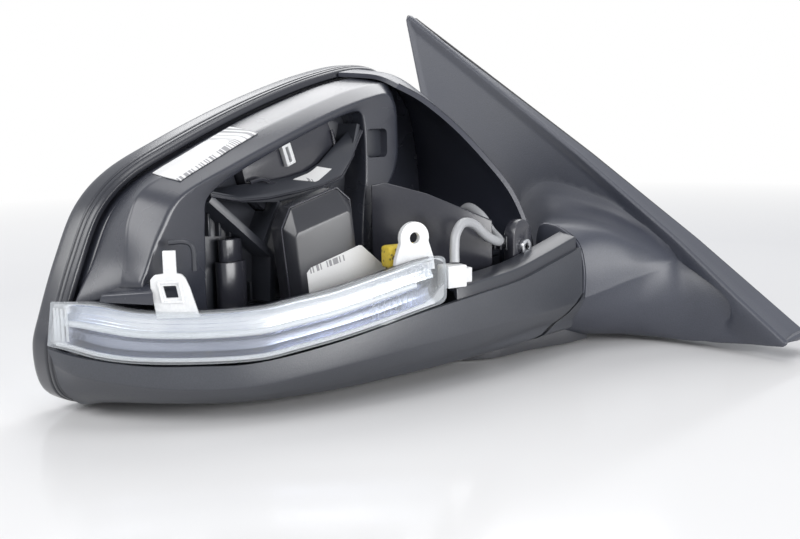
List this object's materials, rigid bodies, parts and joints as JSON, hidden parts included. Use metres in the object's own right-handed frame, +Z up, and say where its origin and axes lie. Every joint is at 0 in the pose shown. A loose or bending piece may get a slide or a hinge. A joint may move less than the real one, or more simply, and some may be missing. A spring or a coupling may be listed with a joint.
{
  "type": "car door mirror",
  "caption": "Power-folding door mirror for a car, shown without its painted cap: housing, side repeater lamp, glass adjuster, fold drive and door foot.",
  "frame": {"origin": "middle of the foot's stop pad on the door face, on the plane of the three door fasteners", "axes": "+X into the door (inboard), +Y rearward on the car, +Z up"},
  "size_m": [0.2905, 0.2351, 0.1644],
  "materials": {
    "casting": "die-cast, as cast",
    "grained": "fine-grained black moulding",
    "satin_black": "satin moulding",
    "frame_plastic": "glass-filled moulding",
    "seal": "soft seal",
    "steel": "plated steel",
    "natural_plastic": "natural low-friction plastic",
    "gloss_clear": "clear lamp lens",
    "reflector": "vacuum-metallised",
    "circuit": "circuit board",
    "led": "light-emitting diode body",
    "cable_black": "cable sheath",
    "cable_grey": "cable sheath",
    "tape": "woven tape",
    "label": "paper label",
    "motor_can": "plated can",
    "bronze": "machined worm",
    "white_plastic": "white moulding",
    "heater": "printed film",
    "mirror": "silvered glass"
  },
  "bodies": {
    "foot": {"foot_base": "casting", "sail_cover": "grained", "arm_cover": "grained", "door_gasket": "seal", "cable_grommet": "seal", "pivot_tube": "steel", "detent_ring": "steel", "fold_gear": "natural_plastic", "fold_spring": "steel", "spring_retainer": "steel", "snap_ring": "steel", "cover_screws": "steel", "foot_harness": "cable_black"},
    "head": {"head_frame": "frame_plastic", "inner_panel": "frame_plastic", "bezel_ring": "satin_black", "carrier_shell": "satin_black", "inboard_shell": "grained", "lower_housing": "grained", "pivot_bracket": "frame_plastic", "frame_screws": "steel", "thrust_ring": "natural_plastic", "drive_case": "frame_plastic", "drive_cover": "frame_plastic", "fold_motor": "motor_can", "lamp_housing": "frame_plastic", "lamp_board": "circuit", "lamp_leds": "led", "lamp_reflector": "reflector", "lamp_lens": "gloss_clear", "lamp_plug": "frame_plastic", "lead_loop": "cable_grey", "lead_tape": "tape", "module_case": "frame_plastic", "module_lid": "frame_plastic", "module_board": "circuit", "module_label": "label", "carrier_label": "label", "frame_label": "label", "adjuster_case": "frame_plastic", "adjuster_cover": "frame_plastic", "adjuster_plug": "white_plastic", "adjuster_motors": "motor_can"},
    "worm": {"fold_worm": "bronze"},
    "gimbal": {"gimbal_ring": "frame_plastic"},
    "glass": {"glass_holder": "frame_plastic", "heater_pad": "heater", "heater_terminals": "steel", "mirror_glass": "mirror"},
    "pan_rod_body": {"pan_rod": "natural_plastic"},
    "tilt_rod_body": {"tilt_rod": "natural_plastic"},
    "pan_nut_body": {"pan_nut": "natural_plastic"},
    "tilt_nut_body": {"tilt_nut": "natural_plastic"}
  },
  "joints": [
    {"name": "fold", "type": "hinge", "parent": "foot", "child": "head", "pos_m": [-0.092, -0.014, -0.02], "axis": [0, 0, 1], "range_deg": [-60, 0]},
    {"name": "worm_turn", "type": "hinge", "parent": "head", "child": "worm", "pos_m": [-0.092, 0.005, -0.0105], "axis": [1, 0, 0], "range_deg": [-1445, 1445]},
    {"name": "pan", "type": "hinge", "parent": "head", "child": "gimbal", "pos_m": [-0.174, 0.036, 0.018], "axis": [0, 0, 1], "range_deg": [-7, 7]},
    {"name": "tilt", "type": "hinge", "parent": "gimbal", "child": "glass", "pos_m": [-0.174, 0.036, 0.018], "axis": [1, 0, 0], "range_deg": [-7, 7]},
    {"name": "pan_push", "type": "slide", "parent": "head", "child": "pan_rod_body", "axis": [0, 1, 0], "range_m": [-0.003, 0.003]},
    {"name": "tilt_push", "type": "slide", "parent": "head", "child": "tilt_rod_body", "axis": [0, 1, 0], "range_m": [-0.003, 0.003]},
    {"name": "pan_nut_turn", "type": "hinge", "parent": "head", "child": "pan_nut_body", "pos_m": [-0.194, 0.02, 0.018], "axis": [0, 1, 0], "range_deg": [-330, 330]},
    {"name": "tilt_nut_turn", "type": "hinge", "parent": "head", "child": "tilt_nut_body", "pos_m": [-0.174, 0.02, 0.038], "axis": [0, 1, 0], "range_deg": [-330, 330]}
  ],
  "couplings": [
    {"joint": "worm_turn", "follows": "fold", "ratio": -24},
    {"joint": "pan_push", "follows": "pan", "m_per_rad": -0.02},
    {"joint": "tilt_push", "follows": "tilt", "m_per_rad": -0.02},
    {"joint": "pan_nut_turn", "follows": "pan", "ratio": 41.888},
    {"joint": "tilt_nut_turn", "follows": "tilt", "ratio": 41.888}
  ]
}
